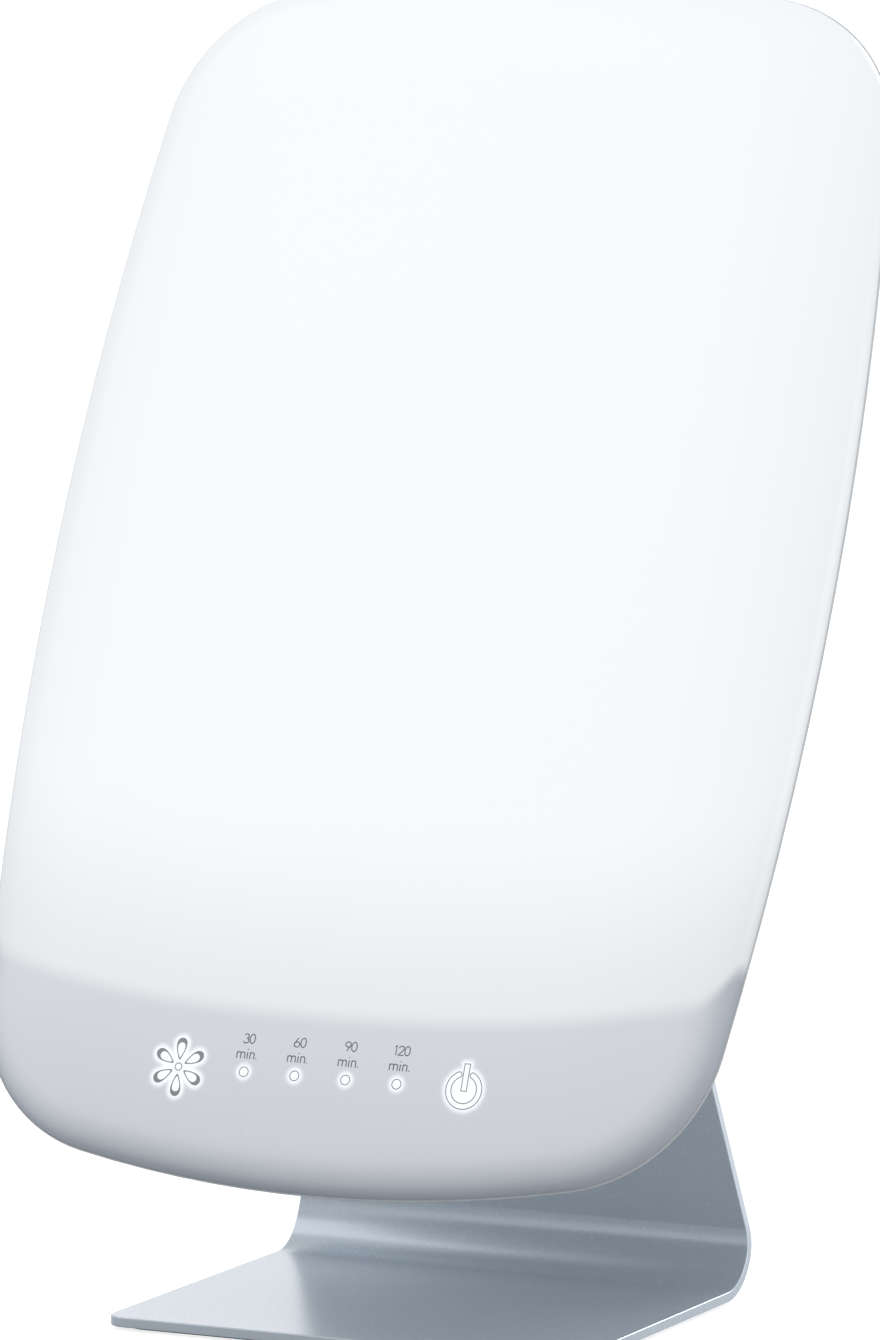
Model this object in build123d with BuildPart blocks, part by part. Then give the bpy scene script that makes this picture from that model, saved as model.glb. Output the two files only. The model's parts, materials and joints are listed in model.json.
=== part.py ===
"""Light therapy lamp: a pillow-shaped light panel on a bent metal stand with a friction hinge.

Units are millimetres, +Z is up and the lamp shines towards -Y. The origin is on the table, under the
middle of the foot. Pieces of the head are drawn on planes parallel to its rim: x runs across, y runs up
along the head, and a level counts from the rim towards the viewer.
"""

import math
import os

from build123d import *

# ---------------------------------------------------------------- head: outline and shells
half_width = 170.0  # rim, at mid height
half_height = 256.2  # rim, on the centre line
side_bow = 1600.0  # radius of the long sides
end_bow = 530.0  # radius of the upper and lower sides
corner_radius = 67.0

rim_thickness = 0.8
rim_proud = 0.5  # rim stands out past the front shell
shell_wall = 2.5
front_rise = 17.0
front_radii = (10.0, 22.0)  # the roll's first arcs, from the rim; a last, flat one takes up the rest
front_turns = (50.0, 27.0, 13.0)  # degrees each arc turns
rear_depth = 33.0
rear_step = 0.8  # from the rim's edge to the rear dish
rear_lean = 28.0  # degrees the rear dish leans in where it leaves the rim
flange_depth = 2.7  # solid edge that carries rim and tongue
tongue_height = 2.0
tongue_wall = 1.2
tongue_gap = 0.5

# ---------------------------------------------------------------- light box
chassis_thickness = 1.5
chassis_inset = 47.0
tray_wall = 1.6
tray_floor_inset = 42.0
tray_front_inset = 16.5
tray_flange = 10.0
tray_front_level = 6.0
diffuser_thickness = 1.5
diffuser_overhang = 1.5
strip_height = 52.5  # control strip below the light box
led_row_count = 9
led_row_below = 40.7  # from the tray's floor to the middle of the lowest and of the highest row
led_row_above = 39.2
led_per_row = 11
led_size = 3.5
led_height = 0.8
led_strip_beside = 30.0  # from the tray's floor to a strip's end
led_strip_end = 8.0  # from a strip's end to its last LED
led_strip_width = 11.0
led_strip_thickness = 1.2

# ---------------------------------------------------------------- controls and electronics
control_above_rim = 43.4  # signs, above the rim's lowest point
dot_pitch = 21.95
dot_count = 4
symbol_offset = 61.5
board_thickness = 1.6
control_board_level = 3.0
control_board_length = 172.0
control_board_width = 36.0
guide_width = 17.0
guide_side_wall = 13.0
guide_bore = 2.6
pad_outer = 9.5
pad_inner = 5.5
indicator_size = 3.0
indicator_height = 1.2

driver_x = 10.0
driver_above_rim = 70.2
driver_length = 120.0
driver_width = 34.0
driver_standoff = 4.0
inductor_radius = 8.0
inductor_height = 11.0
inductor_pitch = 22.0
inductor_x = -12.0
capacitor_radius = 5.0
capacitor_height = 14.0
capacitor_pitch = 13.0
capacitor_x = 36.0
capacitor_drop = 5.0

jack_x = -70.0
jack_collar_radius = 4.5
jack_bore_radius = 2.85
jack_bore_depth = 9.5
jack_pin_radius = 1.0
jack_pin_recess = 1.0
jack_body_width = 12.0
jack_body_depth = 12.0
jack_nut_thickness = 2.0
jack_nut_flats = 12.0
wire_radius = 0.9
wire_spacing = 2.4
plug_width = 8.0
plug_length = 6.0
plug_height = 5.0
led_lead_x = 27.0
control_lead_x = -24.0
control_lead_above_rim = 57.2
notch_width = 9.0
notch_height = 8.0
jumper_width = 4.0
jumper_inset = 6.0

# ---------------------------------------------------------------- screws
m3_radius = 1.5
m3_head_radius = 2.8
m3_head_height = 2.0
m4_radius = 2.0
m4_head_radius = 3.8
m4_head_height = 2.3
screw_clearance = 0.15
boss_wall = 2.0
housing_screw_inset = 11.0
housing_screw_length = 10.0
housing_screw_from_end = 106.2  # screws in the long sides, from the head's ends
housing_screw_end_x = 78.0
housing_seat_level = -5.0
housing_joint_level = 0.5
tray_screw_length = 6.0
tray_screw_rows = (0, 4, 7)  # LED rows that have a screw above them
board_screw_length = 6.0
board_screw_inset = 5.0  # from a board's long edge
driver_screw_inset = 6.0  # from a board's end
control_screw_inset = 8.0

# ---------------------------------------------------------------- vents in the rear housing
vent_length = 72.0
vent_width = 3.0
vent_columns = 2
vent_column_pitch = 84.0
vent_rows = 4
vent_row_pitch = 10.0
vent_above_hinge = (-102.0, 148.0)
rib_thickness = 1.6
rib_above_hinge = (-62.0, 62.0, 106.0)
rib_length = 200.0

# ---------------------------------------------------------------- stand
foot_width = 202.0
foot_length = 150.8
foot_corner = 8.0
sheet_thickness = 4.0
sheet_edge = 0.5
bend_radius = 20.0
upright_lean = 6.0
upright_length = 225.0
upright_top_width = 103.0
upright_top_corner = 12.0
taper_start = 22.0  # height where the sheet starts to narrow
taper_blend = 70.0
mat_thickness = 1.5
mat_inset = 6.0

# ---------------------------------------------------------------- hinge
rest_tilt = 25.2
hinge_row = 3  # LED row that the axis is behind
hinge_behind_back = 17.6
axis_off_sheet = 11.0
axis_above_sheet = 14.7
knuckle_radius = 10.0
knuckle_half_length = 30.5
knuckle_plate = 5.0
knuckle_plate_height = 42.0
knuckle_screw_x = 20.0
knuckle_screw_pitch = 20.0
knuckle_screw_low = 12.0
knuckle_screw_length = 8.0
shaft_radius = 4.0
shaft_running = 0.05
bush_wall = 1.0
bush_length = 12.0
bush_flange = 1.0
bush_flange_radius = 7.5
friction_thickness = 1.0
friction_radius = 9.0
ear_thickness = 3.0
ear_radius = 11.5
ear_root = 38.0
bracket_half_width = 55.0
bracket_thickness = 3.0
bracket_screw_side = 10.0  # from the bracket's side and from its upper and lower edge
bracket_screw_edge = 9.5
slot_clearance = 0.5
shaft_head_radius = 7.0
shaft_head_height = 4.0
spring_thickness = 0.9
spring_cone = 0.6
spring_radius = 8.0
nut_flats = 13.0
nut_height = 6.5
shaft_past_nut = 2.0
cap_wall = 1.5
cap_end_gap = 2.0
cap_edge = 1.0
joint_gap = 0.02

# ---------------------------------------------------------------- planes and levels
lean = math.radians(upright_lean)
tilt = math.radians(rest_tilt)
sheet_top = mat_thickness + sheet_thickness
bend_turn = math.pi / 2 + lean
bend_end_y = foot_length / 2 + bend_radius * math.sin(bend_turn)
bend_end_z = sheet_top + bend_radius * (1 - math.cos(bend_turn))

# upright: x away from the sheet towards the head, y up along the sheet
upright_side = Plane(
    origin=(0, bend_end_y, bend_end_z),
    x_dir=(0, -math.cos(lean), -math.sin(lean)),
    z_dir=(-1, 0, 0),
)
sheet_back = Plane(
    origin=upright_side.from_local_coords(Vector(-sheet_thickness, 0, 0)),
    x_dir=(1, 0, 0),
    z_dir=upright_side.x_dir,
)
axis_height = upright_length + axis_above_sheet
hinge_axis = upright_side.from_local_coords(Vector(axis_off_sheet, axis_height, 0))

tray_floor_low = strip_height + tray_floor_inset - half_height
led_row_span = half_height - tray_floor_inset - led_row_above - tray_floor_low - led_row_below
led_row_pitch = led_row_span / (led_row_count - 1)
led_rows = [tray_floor_low + led_row_below + led_row_pitch * row for row in range(led_row_count)]
led_strip_length = 2 * (half_width - tray_floor_inset - led_strip_beside)
led_pitch = (led_strip_length - 2 * led_strip_end) / (led_per_row - 1)
hinge_y = led_rows[hinge_row]
control_y = control_above_rim - half_height
control_lead_y = control_lead_above_rim - half_height
driver_y = driver_above_rim - half_height
dot_x = [dot_pitch * (number - (dot_count - 1) / 2) for number in range(dot_count)]

back_level = -rear_depth
back_inside = back_level + shell_wall
hinge_level = back_level - hinge_behind_back
head_up = Vector(0, math.sin(tilt), math.cos(tilt))
head_out = Vector(0, -math.cos(tilt), math.sin(tilt))
head_centre = hinge_axis - head_up * hinge_y - head_out * hinge_level
head_plane = Plane(origin=head_centre, x_dir=(1, 0, 0), z_dir=head_out)
head_side = Plane(origin=head_centre, x_dir=head_up, z_dir=(1, 0, 0))

chassis_back = back_inside + bracket_thickness
chassis_front = chassis_back + chassis_thickness
led_board_front = chassis_front + led_strip_thickness
tray_flange_front = chassis_front + tray_wall
diffuser_front = tray_front_level + diffuser_thickness
control_board_front = control_board_level + board_thickness
driver_back = back_inside + driver_standoff
driver_front = driver_back + board_thickness
front_inset = rim_proud
front_inner_inset = front_inset + shell_wall
tongue_outer = front_inner_inset + tongue_gap
tongue_inner = tongue_outer + tongue_wall


def level(height):
    """Plane parallel to the head's rim, `height` towards the viewer."""
    return head_plane.offset(height)


def side_x(y, inset):
    """Half width of the head's outline at height y, inset from the rim."""
    return half_width - side_bow + math.sqrt((side_bow - inset) ** 2 - y**2)


def end_y(x, inset):
    """Half height of the head's outline at x, inset from the rim."""
    return half_height - end_bow + math.sqrt((end_bow - inset) ** 2 - x**2)


def head_outline(inset, lift=0.0):
    """Outline of the head, four bowed sides and rounded corners; lift raises its lower side."""
    with BuildSketch(mode=Mode.PRIVATE) as outline:
        with Locations((half_width - side_bow, 0)):
            Circle(side_bow - inset)
        with Locations((side_bow - half_width, 0)):
            Circle(side_bow - inset, mode=Mode.INTERSECT)
        with Locations((0, half_height - end_bow)):
            Circle(end_bow - inset, mode=Mode.INTERSECT)
        with Locations((0, end_bow - half_height + lift)):
            Circle(end_bow - inset, mode=Mode.INTERSECT)
        corners = outline.vertices().filter_by(lambda corner: abs(corner.Y) > half_height / 2)
        fillet(corners, corner_radius - inset)
    return outline.sketch


def rolled_body(inset, base, radii, turns, rise, lean_in=0.0):
    """Closed body whose edge rolls over tangent arcs, from the outline at level `base` to a flat."""
    ends = [math.radians(lean_in + sum(turns[:count])) for count in range(len(turns))]
    climbed = sum(r * (math.sin(end) - math.sin(start)) for r, start, end in zip(radii, ends, ends[1:]))
    radii = [*radii, (abs(rise) - climbed) / (1 - math.sin(ends[-1]))]
    way = math.copysign(1, rise)
    with BuildSketch() as section:
        with BuildLine():
            corner, direction = Vector(0, 0), Vector(math.sin(ends[0]), way * math.cos(ends[0]))
            for radius, turn in zip(radii, turns):
                arc = JernArc(corner, direction, radius, -way * turn)
                corner, direction = arc @ 1, arc % 1
            Polyline(corner, (corner.X, 0), (0, 0))
        make_face()
    with BuildSketch(level(base), mode=Mode.PRIVATE) as rim:
        add(head_outline(inset))
    with BuildPart(mode=Mode.PRIVATE) as body:
        with BuildSketch(level(base)) as flat:
            add(head_outline(inset + corner.X))
        extrude(flat.sketch, amount=rise)
        # the outline is made of arcs, so each stretch of the roll is a surface of revolution
        for arc in rim.sketch.edges():
            centre, start = arc.arc_center, arc @ 0
            upright = Plane(start, centre - start, (centre - start).cross(head_out))
            axis = Axis(centre, (start - centre).cross(arc % 0))
            revolve(upright * section.sketch, axis, math.degrees(arc.length / arc.radius))
    return body.part


def pillars(places, radius, bottom, top, mode=Mode.ADD):
    """Round columns on the head between two levels, added to or cut from the part being built."""
    with BuildSketch(level(bottom)) as feet:
        with Locations(*places):
            Circle(radius)
    extrude(feet.sketch, amount=top - bottom, mode=mode)


def pads(places, width, height, bottom, top, mode=Mode.ADD):
    """Rectangular blocks on the head between two levels."""
    with BuildSketch(level(bottom)) as feet:
        with Locations(*places):
            Rectangle(width, height)
    extrude(feet.sketch, amount=top - bottom, mode=mode)


def outline_plate(inset, bottom, top, lift=0.0, mode=Mode.ADD):
    """Plate or opening with the head's outline between two levels."""
    with BuildSketch(level(bottom)) as plate:
        add(head_outline(inset, lift))
    extrude(plate.sketch, amount=top - bottom, mode=mode)


def pan_screws(places, seat, length, radius, head_radius, head_height, way=1):
    """Pan-head screws with their heads on `seat`; way is 1 with the heads towards the viewer."""
    pillars(places, radius, seat, seat - way * length)
    pillars(places, head_radius, seat, seat + way * head_height)


def across(offset):
    """Plane square to the hinge axis, `offset` along it, on the head."""
    return head_side.offset(offset)


def turned(*profile):
    """Solid turned round the hinge axis from points (place along the axis, radius)."""
    with BuildSketch(level(hinge_level)) as half:
        with BuildLine():
            Polyline(*[(along, hinge_y + radius) for along, radius in profile], close=True)
        make_face()
    revolve(half.sketch, axis=Axis(hinge_axis, (1, 0, 0)))


def ring(start, end, outer, inner):
    """Ring round the hinge axis between two places along it."""
    turned((start, inner), (start, outer), (end, outer), (end, inner))


def wire_pair(start, end, shift):
    """Two straight leads side by side between two places on the head, x, y and level."""
    for side in (-1, 1):
        beside = shift * (side * wire_spacing / 2)
        ends = [head_plane.from_local_coords(Vector(place)) + beside for place in (start, end)]
        with BuildSketch(Plane(origin=ends[0], z_dir=ends[1] - ends[0])) as section:
            Circle(wire_radius)
        extrude(section.sketch, amount=(ends[1] - ends[0]).length)


def write(name, piece):
    """Label a finished piece and write its STEP file."""
    piece.part.label = name
    export_step(piece.part, f"parts/{name}.step")


os.makedirs("parts", exist_ok=True)

# ---------------------------------------------------------------- places of screws and holes
m3_hole = m3_radius + screw_clearance
m4_hole = m4_radius + screw_clearance
m3_boss = m3_radius + boss_wall
counterbore_radius = m3_head_radius + 2 * screw_clearance
housing_screw_y = half_height - housing_screw_from_end
housing_screw_places = [
    (side * side_x(y, housing_screw_inset), y)
    for side in (-1, 1)
    for y in (-housing_screw_y, 0, housing_screw_y)
] + [
    (side * housing_screw_end_x, end * end_y(housing_screw_end_x, housing_screw_inset))
    for side in (-1, 1)
    for end in (-1, 1)
]
tray_screw_inset = tray_floor_inset + tray_wall + tray_flange / 2
tray_screw_y = [led_rows[row] + led_row_pitch / 2 for row in tray_screw_rows]
tray_screw_places = [(side * side_x(y, tray_screw_inset), y) for side in (-1, 1) for y in tray_screw_y]


def four_corners(x, centre_y, y):
    """Corners of a rectangle of holes, x and y from its centre line."""
    return [(side * x, centre_y + end * y) for side in (-1, 1) for end in (-1, 1)]


control_hole_places = four_corners(
    control_board_length / 2 - control_screw_inset, control_y, control_board_width / 2 - board_screw_inset
)
driver_hole_places = [
    (driver_x + x, y)
    for x, y in four_corners(
        driver_length / 2 - driver_screw_inset, driver_y, driver_width / 2 - board_screw_inset
    )
]
jack_place = [(jack_x, driver_y)]
bracket_half_height = led_row_pitch / 2 + bracket_screw_edge
bracket_hole_places = four_corners(bracket_half_width - bracket_screw_side, hinge_y, led_row_pitch / 2)
ear_inside = knuckle_half_length + bush_flange + friction_thickness
ear_outside = ear_inside + ear_thickness
ear_places = [(side * (ear_inside + ear_thickness / 2), hinge_y) for side in (-1, 1)]
symbol_places = [(side * symbol_offset, control_y) for side in (-1, 1)]
dot_places = [(x, control_y) for x in dot_x]
vent_places = [
    (
        vent_column_pitch * (column - (vent_columns - 1) / 2),
        hinge_y + above + vent_row_pitch * (row - (vent_rows - 1) / 2),
    )
    for above in vent_above_hinge
    for column in range(vent_columns)
    for row in range(vent_rows)
]

# ---------------------------------------------------------------- front shell
front_outer = rolled_body(front_inset, 0, front_radii, front_turns, front_rise)
front_inner = rolled_body(
    front_inner_inset, 0, [r - shell_wall for r in front_radii], front_turns, front_rise - shell_wall
)
with BuildPart() as front_shell:
    pillars(housing_screw_places, m3_boss, housing_joint_level, front_rise)
    add(front_outer, mode=Mode.INTERSECT)
    add(front_outer - front_inner)
    screw_tip = housing_seat_level + housing_screw_length
    pillars(housing_screw_places, m3_hole, housing_joint_level, screw_tip, mode=Mode.SUBTRACT)
write("front_shell", front_shell)

# ---------------------------------------------------------------- rear housing
rear_turn = 90 - rear_lean
rear_outer = rolled_body(
    rear_step, -rim_thickness, (), (rear_turn,), rim_thickness - rear_depth, rear_lean
)
rear_inner_base = shell_wall * math.sin(math.radians(rear_lean)) - rim_thickness
rear_inner = rolled_body(
    rear_step + shell_wall * math.cos(math.radians(rear_lean)),
    rear_inner_base,
    (),
    (rear_turn,),
    back_inside - rear_inner_base,
    rear_lean,
)
with BuildPart() as rear_housing:
    # bosses, posts and ribs, trimmed to the outer form
    pillars(housing_screw_places, counterbore_radius + boss_wall, back_level, -rim_thickness)
    pillars(tray_screw_places, m3_boss, back_level, chassis_back)
    pillars(control_hole_places, m3_boss, back_level, -rim_thickness)
    pillars(driver_hole_places, m3_boss, back_level, driver_back)
    rib_places = [(0, hinge_y + above) for above in rib_above_hinge]
    pads(rib_places, rib_length, rib_thickness, back_level, chassis_back)
    add(rear_outer, mode=Mode.INTERSECT)
    add(rear_outer - rear_inner)
    # flange, rim, the tongue that locates the front shell, and the bosses' upper ends
    outline_plate(rear_step + shell_wall / 2, -flange_depth, -rim_thickness)
    outline_plate(0, -rim_thickness, 0)
    outline_plate(tongue_outer, 0, tongue_height)
    outline_plate(tongue_inner, -flange_depth, tongue_height, mode=Mode.SUBTRACT)
    pillars(housing_screw_places, counterbore_radius + boss_wall, -flange_depth, housing_joint_level)
    pillars(control_hole_places, m3_boss, -flange_depth, control_board_level)
    # screw holes
    pillars(housing_screw_places, counterbore_radius, back_level, housing_seat_level, mode=Mode.SUBTRACT)
    pillars(housing_screw_places, m3_hole, housing_seat_level, housing_joint_level, mode=Mode.SUBTRACT)
    tray_tip = tray_flange_front - tray_screw_length
    pillars(tray_screw_places, m3_hole, tray_tip, chassis_back, mode=Mode.SUBTRACT)
    control_tip = control_board_front - board_screw_length
    pillars(control_hole_places, m3_hole, control_tip, control_board_level, mode=Mode.SUBTRACT)
    driver_tip = driver_front - board_screw_length
    pillars(driver_hole_places, m3_hole, driver_tip, driver_back, mode=Mode.SUBTRACT)
    # vents, slots for the hinge ears, hole for the power inlet
    with BuildSketch(level(back_level)) as openings:
        with Locations(*vent_places):
            SlotOverall(vent_length, vent_width)
        with Locations(*ear_places):
            Rectangle(ear_thickness + 2 * slot_clearance, ear_root + 2 * slot_clearance)
        with Locations(*jack_place):
            Circle(jack_collar_radius + screw_clearance)
    extrude(openings.sketch, amount=shell_wall, mode=Mode.SUBTRACT)
write("rear_housing", rear_housing)

with BuildPart() as housing_screws:
    pan_screws(
        housing_screw_places,
        housing_seat_level,
        housing_screw_length - screw_clearance,
        m3_radius,
        m3_head_radius,
        m3_head_height,
        way=-1,
    )
write("housing_screws", housing_screws)

# ---------------------------------------------------------------- light box
with BuildPart() as chassis_plate:
    outline_plate(chassis_inset, chassis_back, chassis_front, strip_height)
    pillars(tray_screw_places, m3_hole, chassis_back, chassis_front, mode=Mode.SUBTRACT)
    pillars(bracket_hole_places, m4_hole, chassis_back, chassis_front, mode=Mode.SUBTRACT)
write("chassis_plate", chassis_plate)

with BuildPart() as reflector_tray:
    for inset, way in ((0, Mode.ADD), (tray_wall, Mode.SUBTRACT)):
        with BuildSketch(level(chassis_front)):
            add(head_outline(tray_floor_inset + inset, strip_height))
        with BuildSketch(level(tray_front_level)):
            add(head_outline(tray_front_inset + inset, strip_height))
        loft(ruled=True, mode=way)
    # flange that is screwed down on the chassis plate
    with BuildSketch(level(chassis_front)):
        add(head_outline(tray_floor_inset + tray_wall / 2, strip_height))
        flange_inset = tray_floor_inset + tray_wall + tray_flange
        add(head_outline(flange_inset, strip_height), mode=Mode.SUBTRACT)
    extrude(amount=tray_wall)
    pillars(tray_screw_places, m3_hole, chassis_front, tray_flange_front, mode=Mode.SUBTRACT)
    # notch where the leads of the LED strips pass the lower wall
    notch_y = strip_height - end_y(led_lead_x, tray_floor_inset)
    notch_place = [(led_lead_x, notch_y)]
    notch_top = tray_flange_front + notch_height
    pads(notch_place, notch_width, tray_flange, tray_flange_front, notch_top, mode=Mode.SUBTRACT)
write("reflector_tray", reflector_tray)

with BuildPart() as diffuser_sheet:
    outline_plate(tray_front_inset - diffuser_overhang, tray_front_level, diffuser_front, strip_height)
write("diffuser_sheet", diffuser_sheet)

with BuildPart() as led_strips:
    row_places = [(0, y) for y in led_rows]
    pads(row_places, led_strip_length, led_strip_width, chassis_front, led_board_front)
write("led_strips", led_strips)

with BuildPart() as led_packages:
    led_places = [
        (led_pitch * (number - (led_per_row - 1) / 2), y) for y in led_rows for number in range(led_per_row)
    ]
    pads(led_places, led_size, led_size, led_board_front, led_board_front + led_height)
write("led_packages", led_packages)

with BuildPart() as tray_screws:
    pan_screws(
        tray_screw_places,
        tray_flange_front,
        tray_screw_length - screw_clearance,
        m3_radius,
        m3_head_radius,
        m3_head_height,
    )
write("tray_screws", tray_screws)

# ---------------------------------------------------------------- controls
with BuildPart() as control_board:
    board_place = [(0, control_y)]
    pads(board_place, control_board_length, control_board_width, control_board_level, control_board_front)
    pillars(control_hole_places, m3_hole, control_board_level, control_board_front, mode=Mode.SUBTRACT)
write("control_board", control_board)

with BuildPart() as control_board_screws:
    pan_screws(
        control_hole_places,
        control_board_front,
        board_screw_length - screw_clearance,
        m3_radius,
        m3_head_radius,
        m3_head_height,
    )
write("control_board_screws", control_board_screws)

with BuildPart() as indicator_leds:
    pads(
        dot_places + symbol_places,
        indicator_size,
        indicator_size,
        control_board_front,
        control_board_front + indicator_height,
    )
write("indicator_leds", indicator_leds)

with BuildPart() as light_guide_block:
    guide_length = (dot_count - 1) * dot_pitch + 2 * guide_side_wall
    pads([(0, control_y)], guide_length, guide_width, control_board_front, front_rise)
    pillars(dot_places, guide_bore, control_board_front, front_rise, mode=Mode.SUBTRACT)
    add(front_inner, mode=Mode.INTERSECT)
write("light_guide_block", light_guide_block)

with BuildPart() as touch_pads:
    pillars(symbol_places, pad_outer, control_board_front, front_rise)
    pillars(symbol_places, pad_inner, control_board_front, front_rise, mode=Mode.SUBTRACT)
    add(front_inner, mode=Mode.INTERSECT)
write("touch_pads", touch_pads)

# ---------------------------------------------------------------- driver and power inlet
with BuildPart() as driver_board:
    pads([(driver_x, driver_y)], driver_length, driver_width, driver_back, driver_front)
    pillars(driver_hole_places, m3_hole, driver_back, driver_front, mode=Mode.SUBTRACT)
write("driver_board", driver_board)

with BuildPart() as driver_board_screws:
    pan_screws(
        driver_hole_places,
        driver_front,
        board_screw_length - screw_clearance,
        m3_radius,
        m3_head_radius,
        m3_head_height,
    )
write("driver_board_screws", driver_board_screws)

with BuildPart() as driver_inductors:
    inductor_places = [(inductor_x + inductor_pitch * number, driver_y) for number in range(2)]
    pillars(inductor_places, inductor_radius, driver_front, driver_front + inductor_height)
write("driver_inductors", driver_inductors)

with BuildPart() as driver_capacitors:
    capacitor_places = [
        (capacitor_x + capacitor_pitch * number, driver_y - capacitor_drop) for number in range(2)
    ]
    pillars(capacitor_places, capacitor_radius, driver_front, driver_front + capacitor_height)
write("driver_capacitors", driver_capacitors)

jack_mouth = back_level - jack_nut_thickness
jack_inner_end = back_inside + jack_body_depth
jack_bore_end = jack_mouth + jack_bore_depth
with BuildPart() as dc_jack:
    pads(jack_place, jack_body_width, jack_body_width, back_inside, jack_inner_end)
    pillars(jack_place, jack_collar_radius, jack_mouth, back_inside)
    pillars(jack_place, jack_bore_radius, jack_mouth, jack_bore_end, mode=Mode.SUBTRACT)
    pillars(jack_place, jack_pin_radius, jack_mouth + jack_pin_recess, jack_bore_end)
write("dc_jack", dc_jack)

with BuildPart() as jack_nut:
    with BuildSketch(level(jack_mouth)):
        with Locations(*jack_place):
            RegularPolygon(jack_nut_flats / 2, 6, major_radius=False)
            Circle(jack_collar_radius + joint_gap, mode=Mode.SUBTRACT)
    extrude(amount=jack_nut_thickness)
write("jack_nut", jack_nut)

# ---------------------------------------------------------------- plugs and leads inside the head
plug_front = driver_front + plug_height
power_plug_x = driver_x + (plug_width - driver_length) / 2
led_plug_y = driver_y + (driver_width - plug_length) / 2
strip_plug_front = led_board_front + plug_height
with BuildPart() as lead_plugs:
    control_plug_place = (control_lead_x, control_lead_y)
    driver_plug_places = [(power_plug_x, driver_y), (led_lead_x, led_plug_y), control_plug_place]
    pads(driver_plug_places, plug_width, plug_length, driver_front, plug_front)
    pads([(led_lead_x, led_rows[0])], plug_width, plug_length, led_board_front, strip_plug_front)
    control_plug_back = control_board_level - plug_height
    pads([control_plug_place], plug_width, plug_length, control_plug_back, control_board_level)
write("lead_plugs", lead_plugs)

with BuildPart() as power_lead:
    lead_level = driver_front + plug_height / 2
    wire_pair(
        (jack_x + jack_body_width / 2, driver_y, lead_level),
        (power_plug_x - plug_width / 2, driver_y, lead_level),
        head_up,
    )
write("power_lead", power_lead)

with BuildPart() as control_lead:
    wire_pair(
        (control_lead_x, control_lead_y, plug_front),
        (control_lead_x, control_lead_y, control_plug_back),
        head_plane.x_dir,
    )
write("control_lead", control_lead)

with BuildPart() as led_lead:
    wire_pair(
        (led_lead_x, led_plug_y + plug_length / 2, lead_level),
        (led_lead_x, led_rows[0] - plug_length / 2, lead_level),
        head_plane.x_dir,
    )
write("led_lead", led_lead)

with BuildPart() as led_jumpers:
    # flat connectors that join neighbouring strips, on the chassis plate
    jumper_x = led_strip_length / 2 - jumper_inset
    for lower, upper in zip(led_rows, led_rows[1:]):
        places = [(side * jumper_x, (lower + upper) / 2) for side in (-1, 1)]
        pads(places, jumper_width, upper - lower - led_strip_width, chassis_front, led_board_front)
write("led_jumpers", led_jumpers)

# ---------------------------------------------------------------- hinge, head side
shaft_hole = shaft_radius + shaft_running
with BuildPart() as hinge_bracket:
    pads([(0, hinge_y)], 2 * bracket_half_width, 2 * bracket_half_height, back_inside, chassis_back)
    for start in (-ear_outside, ear_inside):
        with BuildSketch(across(start)) as ear:
            with Locations((hinge_y, hinge_level)):
                Circle(ear_radius)
            with Locations((hinge_y, (back_inside + chassis_back) / 2)):
                Rectangle(ear_root, bracket_thickness)
            make_hull()
        extrude(ear.sketch, amount=ear_thickness)
    with BuildSketch(across(-ear_outside)) as bore:
        with Locations((hinge_y, hinge_level)):
            Circle(shaft_hole)
    extrude(bore.sketch, amount=2 * ear_outside, mode=Mode.SUBTRACT)
    pillars(bracket_hole_places, m4_hole, back_inside, chassis_back, mode=Mode.SUBTRACT)
write("hinge_bracket", hinge_bracket)

with BuildPart() as bracket_screws:
    # the screws end flush with the bracket's back
    bracket_screw_length = chassis_thickness + bracket_thickness
    pan_screws(
        bracket_hole_places, chassis_front, bracket_screw_length, m4_radius, m4_head_radius, m4_head_height
    )
write("bracket_screws", bracket_screws)

spring_end = ear_outside + 2 * (spring_thickness + spring_cone)
nut_end = spring_end + nut_height
shaft_end = nut_end + shaft_past_nut
with BuildPart() as hinge_shaft:
    head_end = -ear_outside - shaft_head_height
    turned(
        (head_end, 0),
        (head_end, shaft_head_radius),
        (-ear_outside, shaft_head_radius),
        (-ear_outside, shaft_radius),
        (shaft_end, shaft_radius),
        (shaft_end, 0),
    )
write("hinge_shaft", hinge_shaft)

with BuildPart() as friction_washers:
    for start in (-ear_inside, ear_inside - friction_thickness):
        ring(start, start + friction_thickness, friction_radius, shaft_hole)
write("friction_washers", friction_washers)

with BuildPart() as spring_washers:
    # two conical washers, their small ends together
    for base, way in ((ear_outside, 1), (spring_end, -1)):
        turned(
            (base + way * spring_cone, shaft_hole),
            (base, spring_radius),
            (base + way * spring_thickness, spring_radius),
            (base + way * (spring_thickness + spring_cone - joint_gap), shaft_hole),
        )
write("spring_washers", spring_washers)

with BuildPart() as hinge_nut:
    with BuildSketch(across(spring_end)) as hexagon:
        with Locations((hinge_y, hinge_level)):
            RegularPolygon(nut_flats / 2, 6, major_radius=False)
            Circle(shaft_radius + joint_gap, mode=Mode.SUBTRACT)
    extrude(hexagon.sketch, amount=nut_height)
write("hinge_nut", hinge_nut)

cap_inner_end = shaft_end + cap_end_gap
cap_end = cap_inner_end + cap_wall
with BuildPart() as hinge_caps:
    for side in (-1, 1):
        turned(
            (side * ear_outside, ear_radius - cap_wall),
            (side * ear_outside, ear_radius),
            (side * (cap_end - cap_edge), ear_radius),
            (side * cap_end, ear_radius - cap_edge),
            (side * cap_end, 0),
            (side * cap_inner_end, 0),
            (side * cap_inner_end, ear_radius - cap_wall),
        )
write("hinge_caps", hinge_caps)

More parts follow.
